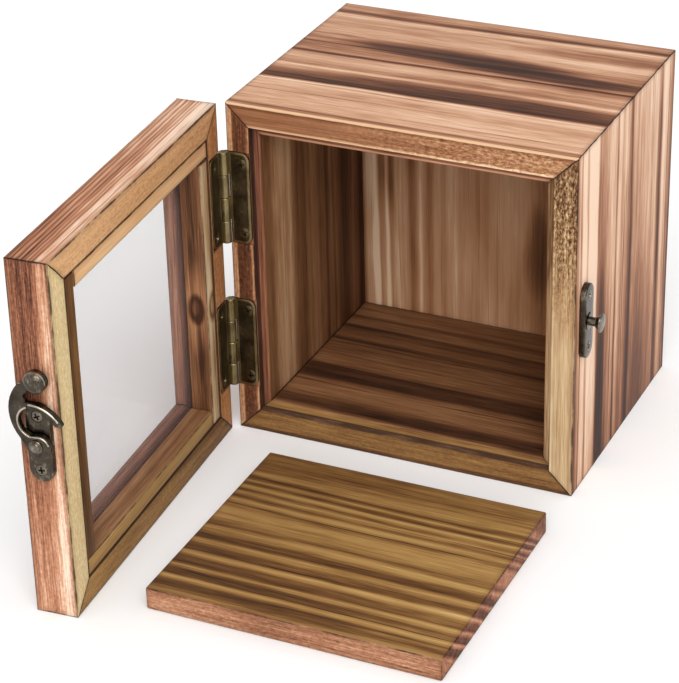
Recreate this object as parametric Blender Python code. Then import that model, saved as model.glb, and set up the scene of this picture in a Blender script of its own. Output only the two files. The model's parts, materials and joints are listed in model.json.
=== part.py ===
"""Wooden shadow box for a softball: a mitred case, a glazed door on two butt hinges, a swing-hook latch
and a loose base board.

Metres, +Z up. The origin is the centre of the case's bottom face, and the door closes the side that
faces -Y. The door stands open, the latch hook is upright and the base board lies in front of the case.
The door and everything on it are modelled where they are when the door is closed, and an empty on the
hinge pins' axis turns them open."""

import math

import bmesh
import bpy
from mathutils import Matrix, Vector

MM = 0.001

# Case: four mitred boards with a small rebate around the front opening, and a back panel let in between them.
CASE_WIDTH = 132 * MM
CASE_HEIGHT = 132 * MM
CASE_DEPTH = 104 * MM
BOARD_THICKNESS = 12 * MM
REBATE_WIDTH = 3.2 * MM
REBATE_DEPTH = 3 * MM
BACK_THICKNESS = 12 * MM
BACK_RECESS = 4 * MM

# Door: four mitred members, rebated on the inside for a pane that four beads hold in.
DOOR_WIDTH = CASE_WIDTH
DOOR_HEIGHT = CASE_HEIGHT
DOOR_THICKNESS = 15.4 * MM
DOOR_GAP = 2.2 * MM
DOOR_OPEN_DEG = 86.2
MEMBER_WIDTH = 16.4 * MM
MEMBER_FACE = 10.2 * MM
LIP_THICKNESS = 4.4 * MM
GLASS_THICKNESS = 2 * MM
BEAD_WIDTH = 5.9 * MM
BEAD_RECESS = 0.2 * MM
BEAD_END_GAP = 0.8 * MM

# Base board
BASE_WIDTH = 107 * MM
BASE_DEPTH = 95 * MM
BASE_THICKNESS = 8.4 * MM
BASE_CENTRE = Vector((12.5 * MM, -124.6 * MM, 0))

# Butt hinges: the pins stand just outside the case's left side, half-way across the door gap.
HINGE_HEIGHT = 35.8 * MM
HINGE_OFFSETS = {"upper": 29.3 * MM, "lower": -29.3 * MM}
PIN_OUTSIDE = 1 * MM
PIN_RADIUS = 0.6 * MM
PIN_HOLE_RADIUS = 0.68 * MM
KNUCKLE_RADIUS = 1.8 * MM
KNUCKLE_COUNT = 4
KNUCKLE_GAP = 0.3 * MM
LEAF_REACH = 9.6 * MM
LEAF_THICKNESS = 0.9 * MM
LEAF_CORNER = 3.2 * MM
HINGE_SCREW_REACH = 6.6 * MM
HINGE_SCREW_OFFSET = 13.5 * MM

# Latch: a hook on the door's free edge swings down over a post on the case's right side.
LATCH_HEIGHT = 67.5 * MM
LATCH_INSET = 7.4 * MM
STRIKE_INSET = 8.3 * MM
PLATE_LENGTH = 28.6 * MM
PLATE_WIDTH = 8.8 * MM
PLATE_THICKNESS = 2 * MM
PLATE_SCREW_OFFSET = 10 * MM
HOOK_STANDOFF = 2.7 * MM
HOOK_THICKNESS = 1.8 * MM
KNOB_PLACE = (1.7 * MM, 24 * MM)
KNOB_RADIUS = 3.9 * MM
KNOB_HALF_THICKNESS = 2 * MM
RIVET_RADIUS = 1.2 * MM
RIVET_HOLE_RADIUS = 1.28 * MM
RIVET_HEAD_RADIUS = 2.4 * MM
RIVET_HEAD_DOME = 0.9 * MM
POST_FLANGE_RADIUS = 3.2 * MM
POST_NECK_RADIUS = 1.4 * MM
POST_COLLAR_RADIUS = 2.2 * MM
POST_HEAD_RADIUS = 3.8 * MM
POST_HEAD_START = 5.2 * MM
POST_LENGTH = 7.4 * MM

# Countersunk cross-head wood screws
SCREW_HEAD_RADIUS = 2 * MM
SCREW_HEAD_HEIGHT = 1 * MM
SCREW_SHANK_RADIUS = 0.75 * MM
SCREW_LENGTH = 7 * MM
SCREW_PROUD = 0.1 * MM
CROSS_LENGTH = 2.5 * MM
CROSS_WIDTH = 0.6 * MM
CROSS_DEPTH = 0.7 * MM

# Gaps that separate pieces keep from each other
WOOD_GAP = 0.3 * MM
MITRE_GAP = 0.15 * MM
METAL_GAP = 0.2 * MM
HOLE_GAP = 0.25 * MM
KNUCKLE_CLEARANCE = 0.35 * MM
CUT_MARGIN = 1 * MM

ROUND_SEGMENTS = 24
SCREW_SEGMENTS = 16
ARC_STEP_DEG = 12

# Places worked out from the dimensions, with the door closed
FRONT = -CASE_DEPTH / 2
LEFT = -CASE_WIDTH / 2
RIGHT = CASE_WIDTH / 2
DOOR_INNER = FRONT - DOOR_GAP
DOOR_OUTER = DOOR_INNER - DOOR_THICKNESS
PIN_AXIS = Vector((LEFT - PIN_OUTSIDE, FRONT - DOOR_GAP / 2, 0))
HOOK_AXIS = Vector((RIGHT, DOOR_INNER - LATCH_INSET, LATCH_HEIGHT))
POST_AXIS = Vector((RIGHT, FRONT + STRIKE_INSET, LATCH_HEIGHT))

X_AXIS = Vector((1, 0, 0))
Y_AXIS = Vector((0, 1, 0))
Z_AXIS = Vector((0, 0, 1))

# Colour, metallic value and roughness
FINISHES = {
    "torched_wood": ((0.42, 0.24, 0.14, 1), 0.0, 0.55),
    "dark_wood": ((0.16, 0.09, 0.05, 1), 0.0, 0.6),
    "pale_wood": ((0.62, 0.45, 0.27, 1), 0.0, 0.55),
    "olive_wood": ((0.30, 0.18, 0.08, 1), 0.0, 0.5),
    "antique_brass": ((0.22, 0.19, 0.12, 1), 1.0, 0.35),
    "dark_bronze": ((0.13, 0.12, 0.11, 1), 1.0, 0.3),
    "glass": ((0.85, 0.84, 0.86, 0.35), 0.0, 0.05),
}


class Pivot:
    """An empty on a joint's axis, and its place while the door is closed."""

    def __init__(self, name, place, parent=None):
        self.empty = bpy.data.objects.new(name, None)
        self.place = place
        bpy.context.scene.collection.objects.link(self.empty)
        self.empty.location = place
        if parent:
            self.empty.parent = parent.empty
            self.empty.location = place - parent.place


def make_materials():
    """One plain material for each finish."""
    materials = {}
    for name, (colour, metallic, roughness) in FINISHES.items():
        material = bpy.data.materials.new(name)
        material.use_nodes = True
        material.diffuse_color = colour
        shader = material.node_tree.nodes["Principled BSDF"]
        shader.inputs["Base Color"].default_value = colour
        shader.inputs["Metallic"].default_value = metallic
        shader.inputs["Roughness"].default_value = roughness
        materials[name] = material
    return materials


# Meshes


def finish_mesh(bm, smooth=False):
    """Close a bmesh into a mesh whose faces point out."""
    bmesh.ops.recalc_face_normals(bm, faces=bm.faces)
    mesh = bpy.data.meshes.new("mesh")
    bm.to_mesh(mesh)
    bm.free()
    if smooth:
        mesh.shade_smooth()
        mesh.set_sharp_from_angle(angle=math.radians(35))
    return mesh


def loft(rings, smooth=False):
    """A solid through rings of points, each joined to the next, with flat ends."""
    bm = bmesh.new()
    loops = [[bm.verts.new(point) for point in ring] for ring in rings]
    for lower, upper in zip(loops, loops[1:]):
        for index, corner in enumerate(lower):
            following = (index + 1) % len(lower)
            bm.faces.new((corner, lower[following], upper[following], upper[index]))
    bm.faces.new(loops[0])
    bm.faces.new(loops[-1])
    return finish_mesh(bm, smooth)


def block(low, high):
    """A box between two corners."""
    outline = [(low[0], low[1]), (high[0], low[1]), (high[0], high[1]), (low[0], high[1])]
    return loft([[(x, y, z) for x, y in outline] for z in (low[2], high[2])])


def turned(profile, place, direction, segments=ROUND_SEGMENTS):
    """A solid turned from (radius, height) points, base to top, with its axis from place along direction."""
    bm = bmesh.new()
    base = bm.verts.new((0, 0, profile[0][1]))
    top = bm.verts.new((0, 0, profile[-1][1]))
    angles = [2 * math.pi * step / segments for step in range(segments)]
    rings = []
    for radius, height in profile:
        if radius > 0:
            ring = [bm.verts.new((radius * math.cos(a), radius * math.sin(a), height)) for a in angles]
            rings.append(ring)
    for index in range(segments):
        following = (index + 1) % segments
        bm.faces.new((base, rings[0][following], rings[0][index]))
        bm.faces.new((top, rings[-1][index], rings[-1][following]))
        for lower, upper in zip(rings, rings[1:]):
            bm.faces.new((lower[index], lower[following], upper[following], upper[index]))
    turn = direction.to_track_quat("Z", "Y").to_matrix().to_4x4()
    bm.transform(Matrix.Translation(place) @ turn)
    return finish_mesh(bm, smooth=True)


def rod(radius, start, end, place, direction, segments=ROUND_SEGMENTS):
    """A cylinder between two heights along an axis."""
    return turned([(0, start), (radius, start), (radius, end), (0, end)], place, direction, segments)


def ellipsoid(radius, half_thickness, middle, place, direction):
    """A flattened ball whose middle is at a height along an axis."""
    steps = 10
    angles = [math.pi * (step / steps - 0.5) for step in range(steps + 1)]
    profile = [(radius * math.cos(a), middle + half_thickness * math.sin(a)) for a in angles]
    profile[0] = (0, middle - half_thickness)
    profile[-1] = (0, middle + half_thickness)
    return turned(profile, place, direction)


def several(meshes):
    """Separate solids in one mesh, for a cutter that makes more than one cut."""
    bm = bmesh.new()
    for mesh in meshes:
        bm.from_mesh(mesh)
    return finish_mesh(bm)


def arc(centre, radius, start_deg, end_deg):
    """Points along an arc, in the plane and units of its centre."""
    steps = max(2, round(abs(end_deg - start_deg) / ARC_STEP_DEG))
    angles = [math.radians(start_deg + (end_deg - start_deg) * step / steps) for step in range(steps + 1)]
    return [(centre[0] + radius * math.cos(a), centre[1] + radius * math.sin(a)) for a in angles]


# Objects


def add_object(name, mesh, material, pivot=None, origin=Vector()):
    """Link a mesh that was modelled in place, with its own origin, and hang it on a pivot if given."""
    mesh.transform(Matrix.Translation(-origin))
    item = bpy.data.objects.new(name, mesh)
    bpy.context.scene.collection.objects.link(item)
    item.location = origin
    if pivot:
        item.parent = pivot.empty
        item.location = origin - pivot.place
    if material:
        mesh.materials.append(material)
    return item


def boolean(item, operation, mesh, pivot=None):
    """Cut a solid out of an object, or join one on, with a hidden guide that moves with the object."""
    guide = add_object(f"{item.name}_{operation.lower()}_{len(item.modifiers) + 1}", mesh, None, pivot)
    guide.hide_render = True
    guide.display_type = "WIRE"
    modifier = item.modifiers.new(guide.name, "BOOLEAN")
    modifier.operation = operation
    modifier.object = guide


# Wood


def mitred_members(width, height, profile, near_face):
    """Meshes of the four members of a frame in the XZ plane: bottom, right, top and left.

    The profile's points are (distance in from the frame's outer edge, distance back from near_face)."""
    corners = [(-width / 2, 0), (width / 2, 0), (width / 2, height), (-width / 2, height)]
    meshes = []
    for turn, (corner_x, corner_z) in enumerate(corners):
        length = height if turn % 2 else width
        cosine = round(math.cos(turn * math.pi / 2))
        sine = round(math.sin(turn * math.pi / 2))
        rings = []
        for end in (0, 1):
            ring = []
            for inward, back in profile:
                mitre = inward + MITRE_GAP
                along = length - mitre if end else mitre
                x = corner_x + along * cosine - inward * sine
                z = corner_z + along * sine + inward * cosine
                ring.append((x, near_face + back, z))
            rings.append(ring)
        meshes.append(loft(rings))
    return meshes


def build_case(materials):
    """The four boards and the back panel. Returns the boards that carry hardware."""
    face = BOARD_THICKNESS - REBATE_WIDTH
    profile = [(0, 0), (face, 0), (face, REBATE_DEPTH), (BOARD_THICKNESS, REBATE_DEPTH),
               (BOARD_THICKNESS, CASE_DEPTH), (0, CASE_DEPTH)]
    names = ("case_bottom", "case_right_side", "case_top", "case_left_side")
    wood = materials["torched_wood"]
    boards = {}
    for name, mesh in zip(names, mitred_members(CASE_WIDTH, CASE_HEIGHT, profile, FRONT)):
        boards[name] = add_object(name, mesh, wood)
    inset = BOARD_THICKNESS + WOOD_GAP
    back = -FRONT - BACK_RECESS
    low = (LEFT + inset, back - BACK_THICKNESS, inset)
    high = (RIGHT - inset, back, CASE_HEIGHT - inset)
    add_object("case_back_panel", block(low, high), materials["dark_wood"])
    return boards


def build_door(materials, pivot):
    """The four members, the pane and its beads. Returns the members that carry hardware."""
    profile = [(0, 0), (MEMBER_WIDTH, 0), (MEMBER_WIDTH, LIP_THICKNESS), (MEMBER_FACE, LIP_THICKNESS),
               (MEMBER_FACE, DOOR_THICKNESS), (0, DOOR_THICKNESS)]
    names = ("door_bottom_rail", "door_latch_stile", "door_top_rail", "door_hinge_stile")
    wood = materials["torched_wood"]
    members = {}
    for name, mesh in zip(names, mitred_members(DOOR_WIDTH, DOOR_HEIGHT, profile, DOOR_OUTER)):
        members[name] = add_object(name, mesh, wood, pivot, PIN_AXIS)

    inset = MEMBER_FACE + WOOD_GAP
    left = -DOOR_WIDTH / 2 + inset
    right = DOOR_WIDTH / 2 - inset
    bottom = inset
    top = DOOR_HEIGHT - inset
    glass_back = DOOR_OUTER + LIP_THICKNESS + METAL_GAP
    glass_front = glass_back + GLASS_THICKNESS
    pane = block((left, glass_back, bottom), (right, glass_front, top))
    add_object("door_glass", pane, materials["glass"], pivot, PIN_AXIS)

    # Each bead runs into one corner and stops at the side of the next bead.
    bead_back = glass_front + METAL_GAP
    bead_front = DOOR_INNER - BEAD_RECESS
    stop = BEAD_WIDTH + BEAD_END_GAP
    beads = {
        "door_top_bead": ((left, top - BEAD_WIDTH), (right - stop, top), "pale_wood"),
        "door_latch_side_bead": ((right - BEAD_WIDTH, bottom + stop), (right, top), "dark_wood"),
        "door_bottom_bead": ((left + stop, bottom), (right, bottom + BEAD_WIDTH), "pale_wood"),
        "door_hinge_side_bead": ((left, bottom), (left + BEAD_WIDTH, top - stop), "dark_wood"),
    }
    for name, ((low_x, low_z), (high_x, high_z), finish) in beads.items():
        mesh = block((low_x, bead_back, low_z), (high_x, bead_front, high_z))
        add_object(name, mesh, materials[finish], pivot, PIN_AXIS)
    return members


def build_base_board(materials):
    """The loose board, lying in front of the case."""
    half = Vector((BASE_WIDTH / 2, BASE_DEPTH / 2, 0))
    mesh = block(BASE_CENTRE - half, BASE_CENTRE + half + Z_AXIS * BASE_THICKNESS)
    add_object("base_board", mesh, materials["olive_wood"], origin=BASE_CENTRE)


# Screws


def make_screw_mesh():
    """A countersunk screw along -Z with its head's face at the origin, and a cross cut in the head."""
    tip = SCREW_LENGTH - 2 * SCREW_SHANK_RADIUS
    profile = [(0, -SCREW_LENGTH), (SCREW_SHANK_RADIUS / 3, -SCREW_LENGTH), (SCREW_SHANK_RADIUS, -tip),
               (SCREW_SHANK_RADIUS, -SCREW_HEAD_HEIGHT), (SCREW_HEAD_RADIUS, 0), (0, 0)]
    item = add_object("screw", turned(profile, Vector(), Z_AXIS, SCREW_SEGMENTS), None)
    arm = CROSS_LENGTH / 2
    half = CROSS_WIDTH / 2
    outline = []
    for turn in range(4):
        cosine = round(math.cos(turn * math.pi / 2))
        sine = round(math.sin(turn * math.pi / 2))
        for x, y in ((arm, -half), (arm, half), (half, half)):
            outline.append((x * cosine - y * sine, x * sine + y * cosine))
    cross = loft([[(x, y, z) for x, y in outline] for z in (-CROSS_DEPTH, CROSS_DEPTH)])
    boolean(item, "DIFFERENCE", cross)
    mesh = bpy.data.meshes.new_from_object(item.evaluated_get(bpy.context.evaluated_depsgraph_get()))
    for spare in (item.modifiers[0].object, item):
        bpy.data.objects.remove(spare)
    return mesh


def add_screw(name, mesh, face, outward, turn_deg, pivot=None):
    """A copy of the screw whose head lies in a face, turned about its own axis."""
    item = bpy.data.objects.new(name, mesh)
    bpy.context.scene.collection.objects.link(item)
    place = face + outward * SCREW_PROUD
    item.location = place
    if pivot:
        item.parent = pivot.empty
        item.location = place - pivot.place
    aim = outward.to_track_quat("Z", "Y").to_matrix()
    item.rotation_euler = (aim @ Matrix.Rotation(math.radians(turn_deg), 3, "Z")).to_euler()


def pilot_holes(places, outward):
    """A cutter for the holes that the shanks go into."""
    radius = SCREW_SHANK_RADIUS + HOLE_GAP
    depth = SCREW_LENGTH + HOLE_GAP
    return several([rod(radius, -depth, CUT_MARGIN, place, outward, SCREW_SEGMENTS) for place in places])


def countersinks(places, outward):
    """A cutter for countersunk holes whose mouths lie at the places."""
    shank = SCREW_SHANK_RADIUS + HOLE_GAP
    head = SCREW_HEAD_RADIUS + HOLE_GAP
    through = PLATE_THICKNESS + CUT_MARGIN
    profile = [(0, -through), (shank, -through), (shank, -SCREW_HEAD_HEIGHT), (head, 0),
               (head, CUT_MARGIN), (0, CUT_MARGIN)]
    return several([turned(profile, place, outward, SCREW_SEGMENTS) for place in places])


# Hinges


def leaf_plate(side, centre_z):
    """A leaf's flat plate, from the pin's axis to two rounded corners. side is 1 on the case, -1 on the door."""
    half = HINGE_HEIGHT / 2
    reach = LEAF_REACH - LEAF_CORNER
    rise = half - LEAF_CORNER
    outline = [(0, -half)] + arc((reach, -rise), LEAF_CORNER, -90, 0)
    outline += arc((reach, rise), LEAF_CORNER, 0, 90) + [(0, half)]
    backs = (side * (KNUCKLE_RADIUS - LEAF_THICKNESS), side * KNUCKLE_RADIUS)
    return loft([[(PIN_AXIS.x + x, PIN_AXIS.y + y, centre_z + z) for x, z in outline] for y in backs])


def knuckle_rods(radius, centre_z, first, gap):
    """Cylinders around the pin's axis in every other knuckle's place, with a gap at both ends of each."""
    length = HINGE_HEIGHT / KNUCKLE_COUNT
    top = centre_z + HINGE_HEIGHT / 2
    rods = []
    for index in range(first, KNUCKLE_COUNT, 2):
        high = top - index * length - gap
        low = top - (index + 1) * length + gap
        rods.append(rod(radius, low, high, PIN_AXIS, Z_AXIS))
    return several(rods)


def build_leaf(name, side, centre_z, material, screw_mesh, pivot=None):
    """One leaf with its knuckles and its two screws. The case's leaves have the top knuckle."""
    own = 0 if side > 0 else 1
    other = 1 - own
    leaf = add_object(name, leaf_plate(side, centre_z), material, pivot, PIN_AXIS)
    clearance = KNUCKLE_RADIUS + KNUCKLE_CLEARANCE
    boolean(leaf, "DIFFERENCE", knuckle_rods(clearance, centre_z, other, -KNUCKLE_GAP / 2), pivot)
    boolean(leaf, "UNION", knuckle_rods(KNUCKLE_RADIUS, centre_z, own, KNUCKLE_GAP / 2), pivot)
    bore_end = HINGE_HEIGHT / 2 + CUT_MARGIN
    bore = rod(PIN_HOLE_RADIUS, centre_z - bore_end, centre_z + bore_end, PIN_AXIS, Z_AXIS)
    boolean(leaf, "DIFFERENCE", bore, pivot)
    outward = Vector((0, -side, 0))
    face_y = PIN_AXIS.y + side * (KNUCKLE_RADIUS - LEAF_THICKNESS)
    faces = [Vector((PIN_AXIS.x + HINGE_SCREW_REACH, face_y, centre_z + rise * HINGE_SCREW_OFFSET))
             for rise in (1, -1)]
    boolean(leaf, "DIFFERENCE", countersinks(faces, outward), pivot)
    for label, face, turn_deg in zip(("upper", "lower"), faces, (12, 38)):
        add_screw(f"{name}_{label}_screw", screw_mesh, face, outward, turn_deg, pivot)


def mortise(member, side, pivot=None):
    """Let both hinges into a member: a pocket for each leaf, room for the knuckles, and screw holes."""
    half = HINGE_HEIGHT / 2 + METAL_GAP
    wood_face = FRONT if side > 0 else DOOR_INNER
    floor = PIN_AXIS.y + side * (KNUCKLE_RADIUS + METAL_GAP)
    leaf_face = PIN_AXIS.y + side * (KNUCKLE_RADIUS - LEAF_THICKNESS)
    near, far = sorted((floor, wood_face - side * CUT_MARGIN))
    right = PIN_AXIS.x + LEAF_REACH + METAL_GAP
    pockets, reliefs, screws = [], [], []
    for offset in HINGE_OFFSETS.values():
        middle = CASE_HEIGHT / 2 + offset
        pockets.append(block((LEFT - CUT_MARGIN, near, middle - half), (right, far, middle + half)))
        clearance = KNUCKLE_RADIUS + KNUCKLE_CLEARANCE
        reliefs.append(rod(clearance, middle - half, middle + half, PIN_AXIS, Z_AXIS))
        for rise in (1, -1):
            height = middle + rise * HINGE_SCREW_OFFSET
            screws.append(Vector((PIN_AXIS.x + HINGE_SCREW_REACH, leaf_face, height)))
    boolean(member, "DIFFERENCE", several(pockets), pivot)
    boolean(member, "DIFFERENCE", several(reliefs), pivot)
    boolean(member, "DIFFERENCE", pilot_holes(screws, Vector((0, -side, 0))), pivot)


def build_hinges(materials, screw_mesh, boards, members, door_pivot):
    """Two hinges, each with a leaf on the case, a leaf on the door and a pin, and their mortises."""
    brass = materials["antique_brass"]
    for label, offset in HINGE_OFFSETS.items():
        centre_z = CASE_HEIGHT / 2 + offset
        build_leaf(f"{label}_hinge_case_leaf", 1, centre_z, brass, screw_mesh)
        build_leaf(f"{label}_hinge_door_leaf", -1, centre_z, brass, screw_mesh, door_pivot)
        half = HINGE_HEIGHT / 2
        pin = rod(PIN_RADIUS, centre_z - half, centre_z + half, PIN_AXIS, Z_AXIS)
        add_object(f"{label}_hinge_pin", pin, brass)
    mortise(boards["case_left_side"], 1)
    mortise(members["door_hinge_stile"], -1, door_pivot)


# Latch


def plate_mesh(place):
    """A flat plate with round ends, upright on a face that looks along +X."""
    radius = PLATE_WIDTH / 2
    straight = PLATE_LENGTH / 2 - radius
    outline = arc((0, straight), radius, 0, 180) + arc((0, -straight), radius, 180, 360)
    faces = (METAL_GAP, METAL_GAP + PLATE_THICKNESS)
    return loft([[(place.x + x, place.y + y, place.z + z) for y, z in outline] for x in faces])


def build_plate(name, place, member, material, screw_mesh, pivot=None):
    """A plate with a hole in its middle, and the two screws that hold it to a member."""
    plate = add_object(name, plate_mesh(place), material, pivot, place)
    hole = rod(RIVET_HOLE_RADIUS, -CUT_MARGIN, PLATE_THICKNESS + CUT_MARGIN, place, X_AXIS)
    boolean(plate, "DIFFERENCE", hole, pivot)
    face = place + X_AXIS * (METAL_GAP + PLATE_THICKNESS)
    faces = [face + Z_AXIS * rise * PLATE_SCREW_OFFSET for rise in (1, -1)]
    boolean(plate, "DIFFERENCE", countersinks(faces, X_AXIS), pivot)
    boolean(member, "DIFFERENCE", pilot_holes(faces, X_AXIS), pivot)
    for label, spot, turn_deg in zip(("upper", "lower"), faces, (28, 8)):
        add_screw(f"{name}_{label}_screw", screw_mesh, spot, X_AXIS, turn_deg, pivot)


def hook_outline():
    """The hook seen from outside, in millimetres from its rivet: towards the case, and up.

    It goes round the hub, the round mouth, the beak, the slot that takes the post, the knob and the arm."""
    outline = arc((1, -0.2), 4.4, 215, 465)
    outline += arc((0, 8.9), 5.3, 255, 110)
    outline += arc((-2.2, 2.6), 11.3, 82, 32)
    outline += arc((8.93, 9.4), 1, 225, 391)
    outline += arc((-1, 3.4), 12.6, 35, 97)
    outline += arc((-1.4, 17.85), 1.75, 235, 110)
    outline += arc([across / MM for across in KNOB_PLACE], KNOB_RADIUS / MM, 228, 545)
    outline += [(-3.4, 22.7)]
    outline += arc((6.6, 12), 15.4, 139, 218)
    return outline


def build_hook(material, pivot):
    """The swing hook with its rounded thumb knob, its origin on the rivet's axis."""
    faces = (HOOK_STANDOFF, HOOK_STANDOFF + HOOK_THICKNESS)
    rings = [[HOOK_AXIS + Vector((x, y * MM, z * MM)) for y, z in hook_outline()] for x in faces]
    hook = add_object("latch_hook", loft(rings), material, pivot, HOOK_AXIS)
    knob_middle = HOOK_STANDOFF + KNOB_HALF_THICKNESS + 0.1 * MM
    knob_place = HOOK_AXIS + Vector((0, *KNOB_PLACE))
    knob = ellipsoid(KNOB_RADIUS, KNOB_HALF_THICKNESS, knob_middle, knob_place, X_AXIS)
    boolean(hook, "UNION", knob, pivot)
    hole = rod(RIVET_HOLE_RADIUS, 0, faces[1] + CUT_MARGIN, HOOK_AXIS, X_AXIS)
    boolean(hook, "DIFFERENCE", hole, pivot)


def build_latch(materials, screw_mesh, boards, members, door_pivot, hook_pivot):
    """The hook and its plate and rivet on the door, and the plate and post on the case."""
    bronze = materials["dark_bronze"]
    build_plate("latch_plate", HOOK_AXIS, members["door_latch_stile"], bronze, screw_mesh, door_pivot)
    build_hook(bronze, hook_pivot)
    head = HOOK_STANDOFF + HOOK_THICKNESS + METAL_GAP
    edge = head + METAL_GAP
    profile = [(0, METAL_GAP), (RIVET_RADIUS, METAL_GAP), (RIVET_RADIUS, head), (RIVET_HEAD_RADIUS, head),
               (RIVET_HEAD_RADIUS, edge), (RIVET_HEAD_RADIUS / 2, edge + 0.7 * RIVET_HEAD_DOME),
               (0, edge + RIVET_HEAD_DOME)]
    add_object("latch_rivet", turned(profile, HOOK_AXIS, X_AXIS), bronze, door_pivot, HOOK_AXIS)

    build_plate("strike_plate", POST_AXIS, boards["case_right_side"], bronze, screw_mesh)
    flange_base = METAL_GAP + PLATE_THICKNESS + 0.1 * MM
    flange_top = HOOK_STANDOFF - METAL_GAP
    flare_top = POST_LENGTH - 0.8 * MM
    rim_top = POST_LENGTH - 0.3 * MM
    profile = [(0, METAL_GAP), (RIVET_RADIUS, METAL_GAP), (RIVET_RADIUS, flange_base),
               (POST_FLANGE_RADIUS, flange_base), (POST_FLANGE_RADIUS, flange_top),
               (POST_NECK_RADIUS, flange_top), (POST_NECK_RADIUS, POST_HEAD_START),
               (POST_COLLAR_RADIUS, POST_HEAD_START), (POST_HEAD_RADIUS, flare_top),
               (POST_HEAD_RADIUS, rim_top), (POST_HEAD_RADIUS - 0.6 * MM, POST_LENGTH), (0, POST_LENGTH)]
    add_object("strike_post", turned(profile, POST_AXIS, X_AXIS), bronze, origin=POST_AXIS)


def main():
    """Clear the scene and build the whole shadow box."""
    for item in list(bpy.data.objects):
        bpy.data.objects.remove(item)
    materials = make_materials()
    door_pivot = Pivot("door_pivot", PIN_AXIS)
    hook_pivot = Pivot("hook_pivot", HOOK_AXIS, door_pivot)
    boards = build_case(materials)
    members = build_door(materials, door_pivot)
    build_base_board(materials)
    brass_screw = make_screw_mesh()
    bronze_screw = brass_screw.copy()
    brass_screw.materials.append(materials["antique_brass"])
    bronze_screw.materials.append(materials["dark_bronze"])
    build_hinges(materials, brass_screw, boards, members, door_pivot)
    build_latch(materials, bronze_screw, boards, members, door_pivot, hook_pivot)
    door_pivot.empty.rotation_euler.z = -math.radians(DOOR_OPEN_DEG)


main()
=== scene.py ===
"""The looks of a small shadow box: torched pine, a glazed door, antique hinges and a swing-hook latch.

Metres, +Z up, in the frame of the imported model. Pieces on the door are modelled where they are when the
door is closed, like the door's CAD, and OPEN_DOOR turns them to where they rest."""

import json
import math
from dataclasses import dataclass

import bmesh
import bpy
from mathutils import Matrix, Vector


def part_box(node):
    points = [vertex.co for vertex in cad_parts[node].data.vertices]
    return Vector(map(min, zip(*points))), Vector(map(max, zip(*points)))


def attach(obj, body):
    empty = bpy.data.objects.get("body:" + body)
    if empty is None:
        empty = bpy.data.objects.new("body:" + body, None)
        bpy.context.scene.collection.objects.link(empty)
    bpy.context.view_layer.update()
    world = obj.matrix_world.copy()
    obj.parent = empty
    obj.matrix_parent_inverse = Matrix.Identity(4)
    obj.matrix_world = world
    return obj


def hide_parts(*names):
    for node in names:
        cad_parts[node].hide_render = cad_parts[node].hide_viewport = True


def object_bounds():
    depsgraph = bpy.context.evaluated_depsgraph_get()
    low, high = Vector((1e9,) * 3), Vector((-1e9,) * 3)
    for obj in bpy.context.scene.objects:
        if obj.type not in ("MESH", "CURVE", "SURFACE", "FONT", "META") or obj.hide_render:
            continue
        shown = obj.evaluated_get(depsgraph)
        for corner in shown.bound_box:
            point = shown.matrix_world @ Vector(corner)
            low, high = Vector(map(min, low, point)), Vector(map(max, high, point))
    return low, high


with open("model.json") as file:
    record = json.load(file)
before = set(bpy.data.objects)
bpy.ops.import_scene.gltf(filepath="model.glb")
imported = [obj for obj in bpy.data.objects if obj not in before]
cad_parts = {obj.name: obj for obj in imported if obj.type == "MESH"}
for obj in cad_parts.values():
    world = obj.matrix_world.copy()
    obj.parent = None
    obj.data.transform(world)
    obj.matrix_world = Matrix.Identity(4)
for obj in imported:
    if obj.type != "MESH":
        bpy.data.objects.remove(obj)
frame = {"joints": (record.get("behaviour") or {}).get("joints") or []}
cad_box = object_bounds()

MM = 0.001
JOINTS = {joint["name"]: joint for joint in frame["joints"]}

# Case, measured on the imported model
CASE_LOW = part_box("case_left_side")[0]
CASE_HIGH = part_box("case_right_side")[1]
CASE_WIDTH = CASE_HIGH.x - CASE_LOW.x
CASE_DEPTH = CASE_HIGH.y - CASE_LOW.y
CASE_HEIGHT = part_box("case_top")[1].z
FRONT = CASE_LOW.y
BOARD_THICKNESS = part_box("case_bottom")[1].z
REBATE_WIDTH = 3.2 * MM
REBATE_DEPTH = 3 * MM

# Door, closed
DOOR_THICKNESS = 15.4 * MM
DOOR_GAP = 2.2 * MM
MEMBER_WIDTH = 16.4 * MM
MEMBER_FACE = 10.2 * MM
LIP_THICKNESS = 4.4 * MM
GLASS_THICKNESS = 2 * MM
BEAD_WIDTH = 5.9 * MM
BEAD_END_GAP = 0.8 * MM
DOOR_INNER = FRONT - DOOR_GAP
DOOR_OUTER = DOOR_INNER - DOOR_THICKNESS
PIN_AXIS = Vector((*JOINTS["door_hinge"]["pos_m"][:2], 0))
OPEN_DOOR = (Matrix.Translation(PIN_AXIS)
             @ Matrix.Rotation(-math.radians(JOINTS["door_hinge"]["range_deg"][1]), 4, "Z")
             @ Matrix.Translation(-PIN_AXIS))

# Hinges
LEAF_LOW, LEAF_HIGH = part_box("upper_hinge_case_leaf")
LEAF_HALF = (LEAF_HIGH.z - LEAF_LOW.z) / 2
LEAF_REACH = LEAF_HIGH.x - PIN_AXIS.x
LEAF_THICKNESS = 0.9 * MM
LEAF_CORNER = 3.2 * MM
RIM_WIDTH = 0.95 * MM
RIM_HEIGHT = 0.16 * MM
KNUCKLE_RADIUS = 1.8 * MM
KNUCKLE_COUNT = 4
PIN_RADIUS = 0.62 * MM
HINGE_SCREW_REACH = 6.6 * MM
HINGE_SCREW_OFFSET = 13.5 * MM

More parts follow.
